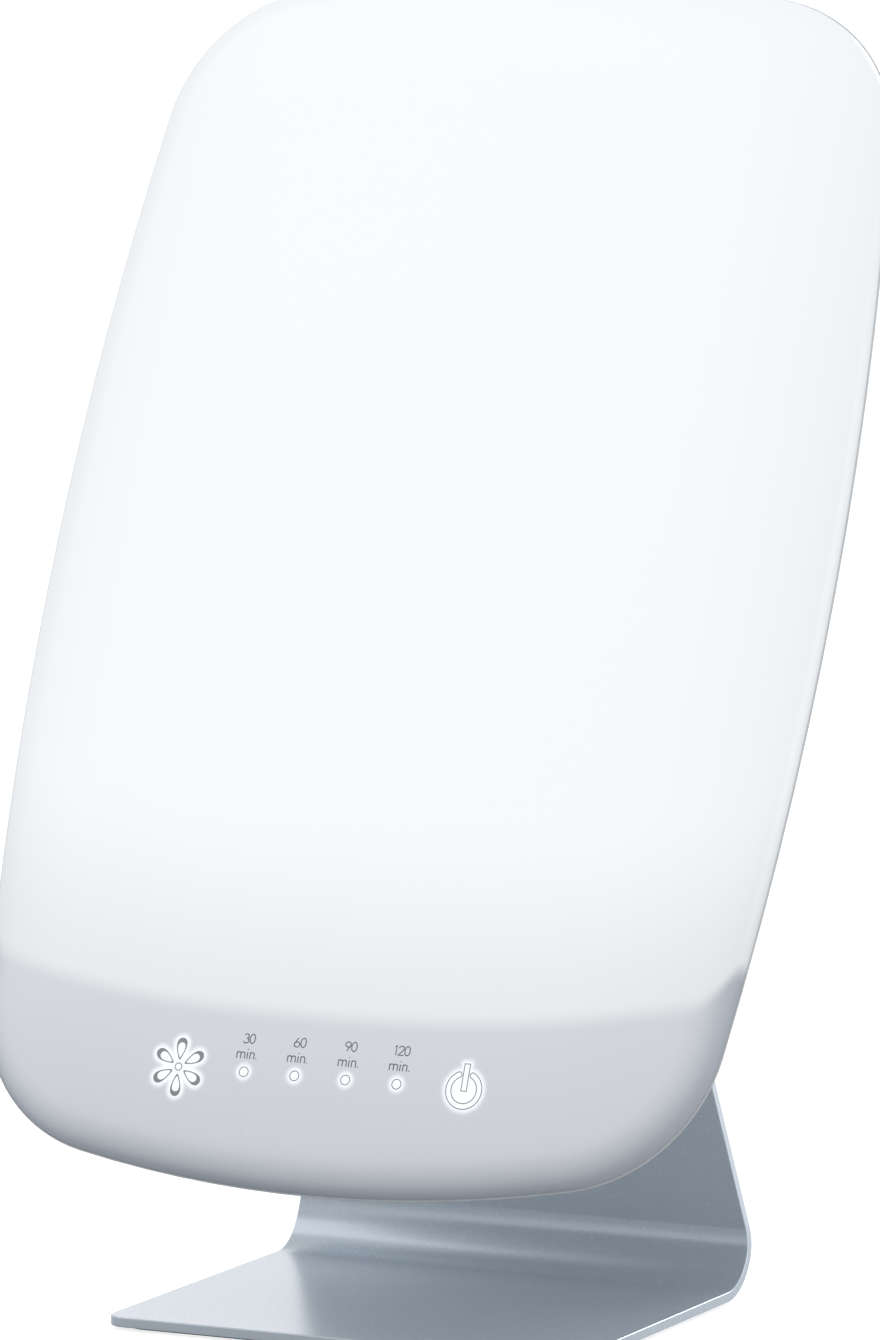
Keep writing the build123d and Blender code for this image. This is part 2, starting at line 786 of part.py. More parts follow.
# ---------------------------------------------------------------- hinge, stand side
bush_radius = shaft_hole + bush_wall
knuckle_foot = upright_length - knuckle_plate_height
knuckle_screw_places = [
    (side * knuckle_screw_x, knuckle_foot + knuckle_screw_low + step)
    for side in (-1, 1)
    for step in (0, knuckle_screw_pitch)
]
with BuildPart() as hinge_knuckle:
    with BuildSketch(upright_side) as knuckle_side:
        with Locations((axis_off_sheet, axis_height)):
            Circle(knuckle_radius)
        with Locations((knuckle_plate / 2, upright_length - knuckle_plate_height / 2)):
            Rectangle(knuckle_plate, knuckle_plate_height)
        make_hull()
        with Locations((axis_off_sheet, axis_height)):
            Circle(bush_radius + joint_gap, mode=Mode.SUBTRACT)
    extrude(amount=knuckle_half_length, both=True)
    with BuildSketch(sheet_back) as threads:
        with Locations(*knuckle_screw_places):
            Circle(m4_hole)
    extrude(amount=knuckle_screw_length + screw_clearance, mode=Mode.SUBTRACT)
write("hinge_knuckle", hinge_knuckle)

with BuildPart() as hinge_bushes:
    for side in (-1, 1):
        face = side * knuckle_half_length
        turned(
            (face - side * bush_length, shaft_hole),
            (face - side * bush_length, bush_radius),
            (face, bush_radius),
            (face, bush_flange_radius),
            (face + side * bush_flange, bush_flange_radius),
            (face + side * bush_flange, shaft_hole),
        )
write("hinge_bushes", hinge_bushes)

with BuildPart() as knuckle_screws:
    with BuildSketch(sheet_back) as shanks:
        with Locations(*knuckle_screw_places):
            Circle(m4_radius)
    extrude(amount=knuckle_screw_length)
    with BuildSketch(sheet_back) as heads:
        with Locations(*knuckle_screw_places):
            Circle(m4_head_radius)
    extrude(amount=m4_head_radius - m4_radius, taper=45)
write("knuckle_screws", knuckle_screws)

# ---------------------------------------------------------------- stand
with BuildPart() as stand_sheet:
    with BuildSketch(Plane.YZ):
        with BuildLine():
            foot = Line((-foot_length / 2, sheet_top), (foot_length / 2, sheet_top))
            bend = JernArc(foot @ 1, foot % 1, bend_radius, math.degrees(bend_turn))
            Line(bend @ 1, bend @ 1 + (bend % 1) * upright_length)
            offset(amount=sheet_thickness, side=Side.RIGHT)
        make_face()
    extrude(amount=foot_width / 2, both=True)
    # front view: full width at the foot, narrowing upright
    sheet_top_end = bend_end_z + upright_length * math.cos(lean) + sheet_thickness * math.sin(lean)
    with BuildSketch(Plane.XZ) as front_view:
        with BuildLine():
            Polyline(
                (-foot_width / 2, 0),
                (-foot_width / 2, taper_start),
                (-upright_top_width / 2, sheet_top_end),
                (upright_top_width / 2, sheet_top_end),
                (foot_width / 2, taper_start),
                (foot_width / 2, 0),
                close=True,
            )
        make_face()
        fillet(front_view.vertices().group_by(Axis.Y)[1], taper_blend)
    extrude(amount=foot_length + bend_radius, both=True, mode=Mode.INTERSECT)
    fillet(stand_sheet.edges().filter_by(Axis.Z).group_by(Axis.Y)[0], foot_corner)
    top_end = stand_sheet.faces().sort_by(Axis.Z)[-1]
    fillet(top_end.edges().sort_by(SortBy.LENGTH)[:2], upright_top_corner)
    fillet(stand_sheet.edges().filter_by(lambda edge: edge.length > sheet_thickness + sheet_edge), sheet_edge)
    with BuildSketch(sheet_back) as clearances:
        with Locations(*knuckle_screw_places):
            Circle(m4_hole)
    extrude(amount=sheet_thickness, mode=Mode.SUBTRACT)
    with BuildSketch(sheet_back) as countersinks:
        with Locations(*knuckle_screw_places):
            Circle(m4_head_radius)
    extrude(amount=m4_head_radius - m4_radius, taper=45, mode=Mode.SUBTRACT)
write("stand_sheet", stand_sheet)

with BuildPart() as foot_mat:
    with BuildSketch():
        RectangleRounded(foot_width - 2 * mat_inset, foot_length - 2 * mat_inset, foot_corner)
    extrude(amount=mat_thickness)
write("foot_mat", foot_mat)
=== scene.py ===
"""Light therapy lamp: the looks of its pieces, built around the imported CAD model.

Lengths are in metres in the lamp's frame, +Z up, with the light towards -Y. Pieces of the head are drawn
in the head's own frame: x across, y up along the head, z out of its face, counted from the rim.
"""

import json
import math

import bmesh
import bpy
from bpy.props import FloatProperty, FloatVectorProperty, PointerProperty
from mathutils import Matrix, Vector


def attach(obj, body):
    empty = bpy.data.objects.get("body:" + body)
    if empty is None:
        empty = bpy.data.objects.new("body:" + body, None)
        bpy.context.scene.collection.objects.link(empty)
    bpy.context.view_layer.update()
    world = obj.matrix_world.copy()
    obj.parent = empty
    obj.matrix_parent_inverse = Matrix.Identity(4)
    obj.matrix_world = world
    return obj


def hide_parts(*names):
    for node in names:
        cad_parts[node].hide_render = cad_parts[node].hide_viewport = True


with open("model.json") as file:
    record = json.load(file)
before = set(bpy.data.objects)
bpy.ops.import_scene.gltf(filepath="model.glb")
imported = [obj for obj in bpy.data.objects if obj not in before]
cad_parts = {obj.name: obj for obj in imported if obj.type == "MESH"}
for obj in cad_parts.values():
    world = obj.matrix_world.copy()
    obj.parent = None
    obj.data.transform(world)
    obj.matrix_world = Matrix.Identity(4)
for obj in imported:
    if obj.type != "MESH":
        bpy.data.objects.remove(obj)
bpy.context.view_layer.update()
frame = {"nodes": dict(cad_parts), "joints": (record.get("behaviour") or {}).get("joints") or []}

bl_info = {
    "name": "Light Therapy Lamp",
    "version": (1, 0, 0),
    "blender": (4, 5, 0),
    "location": "3D View > Sidebar > Lamp",
    "description": "Dresses a light therapy lamp: opal head, printed signs, hinge, stand and studio",
    "category": "Add Mesh",
}

MM = 0.001
STAND, HEAD = "stand", "head"

# ---------------------------------------------------------------- where the head is
HINGE_UP_HEAD = -10.0 * MM  # height of the hinge axis on the head
HINGE_BEHIND_RIM = 50.6 * MM
REST_TILT = math.radians(25.2)
HINGE = Vector(frame["joints"][0]["pos_m"])
HEAD_UP = Vector((0, math.sin(REST_TILT), math.cos(REST_TILT)))
HEAD_OUT = Vector((0, -math.cos(REST_TILT), math.sin(REST_TILT)))
HEAD_CENTRE = HINGE - HEAD_UP * HINGE_UP_HEAD + HEAD_OUT * HINGE_BEHIND_RIM


def placed(origin, across, up, out):
    """Frame with its x, y and z along three directions."""
    return Matrix.Translation(origin) @ Matrix((across, up, out)).transposed().to_4x4()


HEAD_PLACE = placed(HEAD_CENTRE, Vector((1, 0, 0)), HEAD_UP, HEAD_OUT)

# back of the stand's upright, level with the hinge axis
UPRIGHT_LEAN = math.radians(6.0)
BACK_BEHIND_HINGE = 15.0 * MM
BACK_UP = Vector((0, -math.sin(UPRIGHT_LEAN), math.cos(UPRIGHT_LEAN)))
BACK_OUT = Vector((0, math.cos(UPRIGHT_LEAN), math.sin(UPRIGHT_LEAN)))
STAND_BACK = placed(HINGE + BACK_OUT * BACK_BEHIND_HINGE, Vector((-1, 0, 0)), BACK_UP, BACK_OUT)


# ---------------------------------------------------------------- settings
class LampHeadSettings(bpy.types.PropertyGroup):
    """Sizes of the head's outline and of its front shell"""

    half_width: FloatProperty(
        name="Half width", description="From the centre line to the rim", default=0.170, unit="LENGTH"
    )
    half_height: FloatProperty(
        name="Half height", description="From the middle to the rim", default=0.2562, unit="LENGTH"
    )
    side_bow: FloatProperty(
        name="Side bow", description="Radius of the long sides", default=1.6, unit="LENGTH"
    )
    end_bow: FloatProperty(
        name="End bow", description="Radius of the short sides", default=0.53, unit="LENGTH"
    )
    corner_radius: FloatProperty(
        name="Corner radius", description="Radius of the rim's corners", default=0.067, unit="LENGTH"
    )
    rim_width: FloatProperty(
        name="Rim width", description="How far the rim stands out past the front shell", default=0.0005,
        unit="LENGTH",
    )
    shell_wall: FloatProperty(
        name="Shell wall", description="Thickness of the front shell", default=0.0025, unit="LENGTH"
    )
    front_rise: FloatProperty(
        name="Front rise", description="From the rim to the flat face", default=0.017, unit="LENGTH"
    )


class LampLightSettings(bpy.types.PropertyGroup):
    """The lit face and the control strip below it"""

    lit_level: FloatProperty(
        name="Lit level", description="Light that the middle of the face gives off", default=0.865, min=0
    )
    edge_loss: FloatProperty(
        name="Edge loss", description="Share of that light that is lost at the sides", default=0.09,
        subtype="FACTOR", min=0, max=1,
    )
    low_loss: FloatProperty(
        name="Low loss", description="Share of that light that is lost above the strip", default=0.16,
        subtype="FACTOR", min=0, max=1,
    )
    strip_top: FloatProperty(
        name="Strip top", description="Height of the lit area's lower edge on the head", default=-0.189,
        unit="LENGTH",
    )
    softness: FloatProperty(
        name="Softness", description="Width over which the light fades into the strip", default=0.010,
        unit="LENGTH",
    )
    lit_colour: FloatVectorProperty(
        name="Lit colour", description="Colour of the light", default=(0.985, 0.995, 1.0), subtype="COLOR"
    )
    shell_colour: FloatVectorProperty(
        name="Shell colour", description="Opal plastic, unlit", default=(0.88, 0.91, 0.955),
        subtype="COLOR",
    )
    skin_tint: FloatVectorProperty(
        name="Skin tint", description="What the shell's clear skin lets through", default=(0.93, 0.935, 0.94),
        subtype="COLOR",
    )
    # painted shade: colour that darkens the unlit plastic of the roll towards the rim
    roll_shade_colour: FloatVectorProperty(
        name="Roll shade", description="Painted shade on the unlit rolled edge", default=(0.28, 0.34, 0.42),
        subtype="COLOR",
    )
    glow_level: FloatProperty(
        name="Glow level", description="Light around the signs", default=0.40, min=0
    )
    ink_colour: FloatVectorProperty(
        name="Ink colour", description="Printed signs", default=(0.30, 0.315, 0.33), subtype="COLOR"
    )
    label_colour: FloatVectorProperty(
        name="Label colour", description="Printed numbers", default=(0.12, 0.13, 0.14), subtype="COLOR"
    )


class LampBodySettings(bpy.types.PropertyGroup):
    """Stand, rear housing and hinge"""

    metal_colour: FloatVectorProperty(
        name="Stand metal", description="Anodised sheet", default=(0.505, 0.565, 0.63), subtype="COLOR"
    )
    metal_roughness: FloatProperty(
        name="Stand roughness", description="Roughness of the sheet", default=0.24, subtype="FACTOR",
        min=0, max=1,
    )
    housing_colour: FloatVectorProperty(
        name="Housing", description="Rear housing", default=(0.66, 0.68, 0.70), subtype="COLOR"
    )
    cap_colour: FloatVectorProperty(
        name="Hinge caps", description="Caps over the hinge", default=(0.50, 0.53, 0.56), subtype="COLOR"
    )
    mat_colour: FloatVectorProperty(
        name="Foot mat", description="Rubber under the foot", default=(0.035, 0.037, 0.04), subtype="COLOR"
    )


class LampStudioSettings(bpy.types.PropertyGroup):
    """Lights, floor and camera"""

    key_power: FloatProperty(
        name="Key light", description="Large soft light, upper left in front", default=16.0, min=0,
        unit="POWER",
    )
    back_power: FloatProperty(
        name="Back light", description="Soft light behind the head", default=21.0, min=0, unit="POWER"
    )
    far_power: FloatProperty(
        name="Far light", description="Weak panel far left, mirrored by the foot", default=2.4, min=0,
        unit="POWER",
    )
    side_power: FloatProperty(
        name="Side light", description="Low light from the right", default=5.0, min=0, unit="POWER"
    )
    ambient: FloatProperty(
        name="Ambient", description="Level of the surroundings", default=0.84, min=0
    )
    floor_colour: FloatVectorProperty(
        name="Floor", description="Paper the lamp stands on", default=(0.42, 0.43, 0.44), subtype="COLOR"
    )
    floor_white: FloatProperty(
        name="Floor white", description="How far the floor is lifted to white in view", default=0.80, min=0
    )


def head_settings():
    return bpy.context.scene.lamp_head


def light_settings():
    return bpy.context.scene.lamp_light


def body_settings():
    return bpy.context.scene.lamp_body


# ---------------------------------------------------------------- shader arithmetic
class Field:
    """A value over a surface: arithmetic on it is kept as shader nodes."""

    def __init__(self, tree, socket):
        self.tree, self.socket = tree, socket

    def join(self, operation, *others):
        node = self.tree.nodes.new("ShaderNodeMath")
        node.operation = operation
        for slot, item in zip(node.inputs, (self, *others)):
            if isinstance(item, Field):
                self.tree.links.new(item.socket, slot)
            else:
                slot.default_value = item
        return Field(self.tree, node.outputs[0])

    def __add__(self, other):
        return self.join("ADD", other)

    def __sub__(self, other):
        return self.join("SUBTRACT", other)

    def __mul__(self, other):
        return self.join("MULTIPLY", other)

    def __abs__(self):
        return self.join("ABSOLUTE")

    def power(self, exponent):
        return self.join("POWER", exponent)

    def lower_of(self, other):
        return self.join("MINIMUM", other)

    def higher_of(self, other):
        return self.join("MAXIMUM", other)

    def fade(self, start, end, low=0.0, high=1.0):
        """Smooth step from low, at start, to high, at end."""
        node = self.tree.nodes.new("ShaderNodeMapRange")
        node.interpolation_type = "SMOOTHSTEP"
        self.tree.links.new(self.socket, node.inputs["Value"])
        if start > end:
            start, end, low, high = end, start, high, low
        for name, value in (("From Min", start), ("From Max", end), ("To Min", low), ("To Max", high)):
            node.inputs[name].default_value = value
        return Field(self.tree, node.outputs["Result"])


def distance(across, up):
    """Distance from the origin of two fields."""
    return (across * across + up * up).join("SQRT")


class Finish:
    """A material around one Principled shader."""

    def __init__(self, name, colour, roughness, **sockets):
        self.material = bpy.data.materials.new(name)
        self.material.use_nodes = True
        self.tree = self.material.node_tree
        self.shader = self.tree.nodes["Principled BSDF"]
        self.shader.inputs["Base Color"].default_value = (*colour, 1)
        self.shader.inputs["Roughness"].default_value = roughness
        for socket, value in sockets.items():
            self.shader.inputs[socket.replace("_", " ")].default_value = value

    def node(self, kind, **inputs):
        node = self.tree.nodes.new(kind)
        for name, value in inputs.items():
            node.inputs[name].default_value = value
        return node

    def link(self, output, target):
        self.tree.links.new(output, target)

    def place(self, origin):
        """Place on the surface within the frame `origin`, as three fields in metres."""
        coordinates = self.node("ShaderNodeTexCoord")
        within = self.node("ShaderNodeMapping", Location=origin.translation, Rotation=origin.to_euler())
        within.vector_type = "TEXTURE"
        split = self.node("ShaderNodeSeparateXYZ")
        self.link(coordinates.outputs["Object"], within.inputs["Vector"])
        self.link(within.outputs["Vector"], split.inputs[0])
        return [Field(self.tree, output) for output in split.outputs]

    def sideways(self):
        """How far the surface faces left or right, from 0 to 1."""
        coordinates = self.node("ShaderNodeTexCoord")
        split = self.node("ShaderNodeSeparateXYZ")
        self.link(coordinates.outputs["Normal"], split.inputs[0])
        return abs(Field(self.tree, split.outputs["X"]))

    def noise(self, feature, detail=3.0, stretch=(1, 1, 1)):
        """Noise whose features are about `feature` metres wide."""
        coordinates = self.node("ShaderNodeTexCoord")
        mapping = self.node("ShaderNodeMapping")
        mapping.inputs["Scale"].default_value = stretch
        texture = self.node("ShaderNodeTexNoise", Scale=1 / feature, Detail=detail, Roughness=0.6)
        self.link(coordinates.outputs["Object"], mapping.inputs["Vector"])
        self.link(mapping.outputs["Vector"], texture.inputs["Vector"])
        return Field(self.tree, texture.outputs["Fac"])

    def vary_roughness(self, texture, low, high):
        self.link(texture.fade(0.25, 0.75, low, high).socket, self.shader.inputs["Roughness"])

    def colour_between(self, share, second, first=None):
        """Base colour from first, where share is 0, to second, where it is 1; first is the colour so far."""
        mix = self.node("ShaderNodeMix")
        mix.data_type = "RGBA"
        factor, start, end, result = mix.inputs[0], mix.inputs[6], mix.inputs[7], mix.outputs[2]
        base = self.shader.inputs["Base Color"]
        if first:
            start.default_value = (*first, 1)
        else:
            self.link(base.links[0].from_socket, start)
        end.default_value = (*second, 1)
        self.link(share.socket, factor)
        self.link(result, base)

    def vary_colour(self, texture, light, dark, low=0.3, high=0.7):
        self.colour_between(texture.fade(low, high), dark, light)

    def bump(self, texture, depth, strength=1.0):
        node = self.node("ShaderNodeBump", Strength=strength, Distance=depth)
        self.link(texture.socket, node.inputs["Height"])
        self.link(node.outputs["Normal"], self.shader.inputs["Normal"])


def shade(colour, factor):
    return tuple(min(1.0, value * factor) for value in colour)


def moulded_plastic(name, colour, roughness=0.42, grain=0.35 * MM, depth=0.02 * MM):
    """Injection-moulded plastic with a fine spark-eroded texture."""
    finish = Finish(name, colour, roughness, Specular_IOR_Level=0.45)
    texture = finish.noise(grain)
    finish.bump(texture, depth, strength=0.5)
    finish.vary_roughness(finish.noise(18 * MM, detail=2.0), roughness - 0.05, roughness + 0.06)
    cloud = finish.noise(60 * MM, detail=2.0)
    finish.vary_colour(cloud, shade(colour, 1.012), shade(colour, 0.985))
    return finish


BLASTED_METALLIC = 0.4  # blasting and anodising leave less than half of the metal's mirror


def blasted_metal(name, colour, roughness, grain=0.22 * MM, depth=0.006 * MM):
    """Fine bead-blasted metal, with the slight clouding of an anodised surface."""
    finish = Finish(name, colour, roughness, Metallic=BLASTED_METALLIC)
    texture = finish.noise(grain, detail=4.0)
    finish.bump(texture, depth, strength=0.4)
    finish.vary_colour(texture, shade(colour, 1.04), shade(colour, 0.96), low=0.35, high=0.65)
    finish.vary_roughness(finish.noise(2.5 * grain), roughness - 0.03, roughness + 0.04)
    return finish


def plated_steel(name, colour, roughness=0.28):
    """Turned or stamped steel with faint drawn marks."""
    finish = Finish(name, colour, roughness, Metallic=1.0)
    marks = finish.noise(0.25 * MM, stretch=(0.08, 1, 1))
    finish.bump(marks, 0.006 * MM, strength=0.4)
    finish.vary_roughness(finish.noise(1.5 * MM), roughness - 0.06, roughness + 0.1)
    return finish


def rubber(name, colour):
    """Closed rubber with a coarse matt skin."""
    finish = Finish(name, colour, 0.78, Specular_IOR_Level=0.3)
    finish.bump(finish.noise(0.8 * MM), 0.05 * MM, strength=0.7)
    finish.vary_colour(finish.noise(12 * MM), shade(colour, 1.2), shade(colour, 0.85))
    return finish


# ---------------------------------------------------------------- meshes
def new_piece(name, mesh, body, finish, place=HEAD_PLACE, smooth_below=35.0):
    """Link a mesh, drawn in the frame `place`, as a piece of the lamp that moves with a body."""
    mesh.transform(place)
    mesh.materials.append(finish.material)
    mesh.polygons.foreach_set("use_smooth", [True] * len(mesh.polygons))
    mesh.set_sharp_from_angle(angle=math.radians(smooth_below))
    mesh.update()
    piece = bpy.data.objects.new(name, mesh)
    bpy.context.scene.collection.objects.link(piece)
    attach(piece, body)
    return piece


def mesh_of(name, build):
    """Mesh made by a function that fills a bmesh."""
    mesh = bpy.data.meshes.new(name)
    shape = bmesh.new()
    build(shape)
    bmesh.ops.recalc_face_normals(shape, faces=shape.faces)
    shape.to_mesh(mesh)
    shape.free()
    return mesh


def bridge(shape, rings, close=False):
    """Quads between rings of equal length, and from the last ring to the first."""
    pairs = list(zip(rings, rings[1:]))
    if close:
        pairs.append((rings[-1], rings[0]))
    for lower, upper in pairs:
        count = len(lower)
        for i in range(count):
            j = (i + 1) % count
            shape.faces.new((lower[i], lower[j], upper[j], upper[i]))


def rim_stations(steps_corner=18, steps_end=16, steps_side=20):
    """Points round the rim with their outward normals, in the head's frame, once round."""
    s = head_settings()
    side_centre = Vector((s.half_width - s.side_bow, 0))
    end_centre = Vector((0, s.half_height - s.end_bow))
    # centre of the corner arc, inside both bows
    reach_side, reach_end = s.side_bow - s.corner_radius, s.end_bow - s.corner_radius
    apart = (end_centre - side_centre).length
    along = (reach_side**2 - reach_end**2 + apart**2) / (2 * apart)
    off = math.sqrt(reach_side**2 - along**2)
    direction = (end_centre - side_centre) / apart
    normal = Vector((-direction.y, direction.x))
    candidates = [side_centre + direction * along + normal * off * way for way in (-1, 1)]
    corner = max(candidates, key=lambda point: point.x + point.y)
    first = math.atan2(corner.y - side_centre.y, corner.x - side_centre.x)
    second = math.atan2(corner.y - end_centre.y, corner.x - end_centre.x)
    arcs = (
        (side_centre, s.side_bow, 0.0, first, steps_side),
        (corner, s.corner_radius, first, second, steps_corner),
        (end_centre, s.end_bow, second, math.pi / 2, steps_end),
    )
    quarter = []
    for centre, radius, start, end, steps in arcs:
        for step in range(steps):
            angle = start + (end - start) * step / steps
            out = Vector((math.cos(angle), math.sin(angle)))
            quarter.append((centre + out * radius, out))
    quarter.append((end_centre + Vector((0, s.end_bow)), Vector((0, 1))))
    half = quarter + [
        (Vector((-p.x, p.y)), Vector((-n.x, n.y))) for p, n in reversed(quarter[:-1])
    ]
    return half + [(Vector((p.x, -p.y)), Vector((n.x, -n.y))) for p, n in reversed(half[1:-1])]


def head_ring(shape, stations, inset, level):
    """Ring of vertices parallel to the rim."""
    return [shape.verts.new((*(point - out * inset), level)) for point, out in stations]


ROLL_TURNS = (50.0, 27.0, 13.0)
ROLL_RADII = (10.0 * MM, 22.0 * MM)


def roll_arcs(rise, thinner=0.0):
    """Arcs of the front's roll: (place in, height, radius, start, end) for each."""
    ends = [math.radians(sum(ROLL_TURNS[:count])) for count in range(len(ROLL_TURNS) + 1)]
    radii = [radius - thinner for radius in ROLL_RADII]
    climbed = sum(r * (math.sin(b) - math.sin(a)) for r, a, b in zip(radii, ends, ends[1:]))
    radii.append((rise - climbed) / (1 - math.sin(ends[-2])))
    arcs, inward, height = [], 0.0, 0.0
    for radius, start, end in zip(radii, ends, ends[1:]):
        arcs.append((inward, height, radius, start, end))
        inward += radius * (math.cos(start) - math.cos(end))
        height += radius * (math.sin(end) - math.sin(start))
    return arcs


def roll_points(rise, thinner=0.0, counts=(9, 6, 8)):
    """Points (inward, height) down the roll from the rim to the flat face."""
    points = [(0.0, 0.0)]
    for (inward, height, radius, start, end), count in zip(roll_arcs(rise, thinner), counts):
        for step in range(1, count + 1):
            angle = start + (end - start) * step / count
            points.append(
                (
                    inward + radius * (math.cos(start) - math.cos(angle)),
                    height + radius * (math.sin(angle) - math.sin(start)),
                )
            )
    return points


def face_level(x, y):
    """Height of the front shell's surface above the rim at a place in its lower part."""
    s = head_settings()
    centre_up = s.end_bow - s.half_height
    inward = s.end_bow - math.hypot(x, y - centre_up) - s.rim_width
    arcs = roll_arcs(s.front_rise)
    for start_in, height, radius, start, end in arcs:
        cosine = math.cos(start) - (inward - start_in) / radius
        if cosine >= math.cos(end):
            return height + radius * (math.sin(math.acos(max(cosine, 0.0))) - math.sin(start))
    return s.front_rise


PRINT_HEIGHT = 0.03 * MM  # of the ink above the face
PRINT_DEPTH = 0.05 * MM  # of its underside below the face
PRINT_STEP = 1.5 * MM


def finer(left, right, closed):
    """The same two lines, with points added where they run far, so that a band follows the curved face."""
    pairs = [(Vector(a), Vector(b)) for a, b in zip(left, right)]
    ends = pairs[1:] + pairs[:1] if closed else pairs[1:]
    result = []
    for (a, b), (next_a, next_b) in zip(pairs, ends):
        steps = max(1, math.ceil((next_a - a).length / PRINT_STEP))
        result += [(a.lerp(next_a, step / steps), b.lerp(next_b, step / steps)) for step in range(steps)]
    return result if closed else result + pairs[-1:]


def add_band(shape, left, right, closed=False):
    """A printed band between two lines of points on the face, as a thin closed slab."""
    rows = []
    for ends in finer(left, right, closed):
        corners = [(*end, PRINT_HEIGHT) for end in ends] + [(*end, -PRINT_DEPTH) for end in reversed(ends)]
        rows.append([shape.verts.new((x, y, face_level(x, y) + lift)) for x, y, lift in corners])
    bridge(shape, rows, closed)
    if not closed:
        shape.faces.new(rows[0])
        shape.faces.new(rows[-1])


def line_sides(points, width, closed=False):
    """Lines left and right of a path of points, half a width away."""
    left, right, count = [], [], len(points)
    for i, point in enumerate(points):
        before = points[(i - 1) % count] if closed or i else point
        after = points[(i + 1) % count] if closed or i < count - 1 else point
        ways = [
            (Vector(b) - Vector(a)).normalized() for a, b in ((before, point), (point, after)) if a != b
        ]
        way = sum(ways, Vector((0, 0))).normalized()
        side = Vector((-way.y, way.x))
        stretch = 1 / max(0.5, side.dot(Vector((-ways[0].y, ways[0].x))))
        left.append(tuple(Vector(point) + side * width / 2 * stretch))
        right.append(tuple(Vector(point) - side * width / 2 * stretch))
    return left, right


def arc(centre, radius, start, end, steps=16, flat=1.0):
    """Points along an arc, angles in degrees; flat scales its height."""
    points = []
    for step in range(steps + 1):
        angle = math.radians(start + (end - start) * step / steps)
        points.append((centre[0] + radius * math.cos(angle), centre[1] + radius * flat * math.sin(angle)))
    return points


# ---------------------------------------------------------------- printed signs: places and shapes
SIGN_HEIGHT = -212.95 * MM  # of the dots and symbols, on the head
SIGN_MIDDLE = 0.4 * MM
MINUTES = ("30", "60", "90", "120")
DOT_PITCH = 21.95 * MM
DOT_PLACES = [SIGN_MIDDLE + DOT_PITCH * (number - (len(MINUTES) - 1) / 2) for number in range(len(MINUTES))]
SYMBOL_OFFSET = 61.5 * MM
SIGN_LINE = 0.38 * MM
DOT_RADIUS = 1.92 * MM
NUMBER_HEIGHT = 3.7 * MM
WORD_HEIGHT = 3.95 * MM
LABEL_LINE = 0.40 * MM
NUMBER_SPREAD = 1.12  # how much the letters are widened
WORD_SPREAD = 1.16
NUMBER_BASE = -201.5 * MM
WORD_BASE = -207.7 * MM
PETAL_OUTER = (2.8 * MM, 11.6 * MM, 3.1 * MM)  # inner end, outer end, fullness
PETAL_INNER = (3.7 * MM, 9.7 * MM, 2.2 * MM)
PETAL_COUNT = 6
PETAL_STEPS = 40
PETAL_TAPER = 0.3  # share of its fullness that a petal has at its inner end
FLOWER_RING = 1.45 * MM
POWER_OUTER = 7.55 * MM
POWER_INNER = 5.35 * MM
POWER_GAP = 26.0  # degrees on each side of the bar
POWER_BAR = (1.15 * MM, -0.5 * MM, 10.2 * MM)  # half width, lower and upper end

# strokes of the labels in shares of the capitals' height, with how far each sign advances
GLYPH_GAP = 0.10
GLYPHS = {
    "0": (0.66, [(arc((0.29, 0.5), 0.27, 0, 360, 28, 1.85)[:-1], True)]),
    "1": (0.44, [([(0.04, 0.84), (0.2, 1.0), (0.2, 0.0)], False)]),
    "2": (0.62, [(arc((0.28, 0.73), 0.26, 175, -38, 14) + [(0.02, 0.0), (0.56, 0.0)], False)]),
    "3": (
        0.62,
        [
            (arc((0.27, 0.76), 0.22, 160, -90, 14, 1.08), False),
            (arc((0.27, 0.27), 0.27, 90, -165, 16), False),
        ],
    ),
    "6": (0.66, [(arc((0.3, 0.28), 0.28, 0, 360, 24)[:-1], True), ([(0.055, 0.42), (0.37, 1.0)], False)]),
    "9": (0.66, [(arc((0.3, 0.72), 0.28, 0, 360, 24)[:-1], True), ([(0.545, 0.58), (0.23, 0.0)], False)]),
    "m": (
        0.98,
        [
            ([(0.06, 0.0), (0.06, 0.66)], False),
            ([(0.06, 0.4)] + arc((0.245, 0.46), 0.185, 180, 0, 10) + [(0.43, 0.0)], False),
            ([(0.43, 0.4)] + arc((0.615, 0.46), 0.185, 180, 0, 10) + [(0.80, 0.0)], False),
        ],
    ),
    "i": (0.26, [([(0.06, 0.0), (0.06, 0.66)], False), ([(0.06, 0.88), (0.06, 0.98)], False)]),
    "n": (
        0.60,
        [
            ([(0.06, 0.0), (0.06, 0.66)], False),
            ([(0.06, 0.4)] + arc((0.25, 0.45), 0.19, 180, 0, 10) + [(0.44, 0.0)], False),
        ],
    ),
    ".": (0.20, [([(0.06, 0.0), (0.06, 0.10)], False)]),
}


def add_label(shape, text, centre_x, base_y, height, spread):
    """Write a label in single strokes, centred on centre_x; spread widens its letters."""
    wide = height * spread
    start = centre_x - (sum(GLYPHS[sign][0] for sign in text) - GLYPH_GAP) * wide / 2
    for sign in text:
        advance, strokes = GLYPHS[sign]
        for points, closed in strokes:
            path = [(start + x * wide, base_y + y * height) for x, y in points]
            add_band(shape, *line_sides(path, LABEL_LINE, closed), closed)
        start += advance * wide


def add_petal(shape, centre, angle):
    """One petal: a teardrop outline that thickens to a crescent at its outer end."""
    along = Vector((math.cos(angle), math.sin(angle)))
    across = Vector((-along.y, along.x))
    loops = []
    for start, end, half in (PETAL_OUTER, PETAL_INNER):
        loop = []
        for step in range(PETAL_STEPS):
            turn = 2 * math.pi * step / PETAL_STEPS
            share = (1 - math.cos(turn)) / 2
            width = half * math.sin(turn) * (PETAL_TAPER + (1 - PETAL_TAPER) * share)
            loop.append(Vector(centre) + along * (start + (end - start) * share) + across * width)
        loops.append(loop)
    add_band(shape, *loops, True)


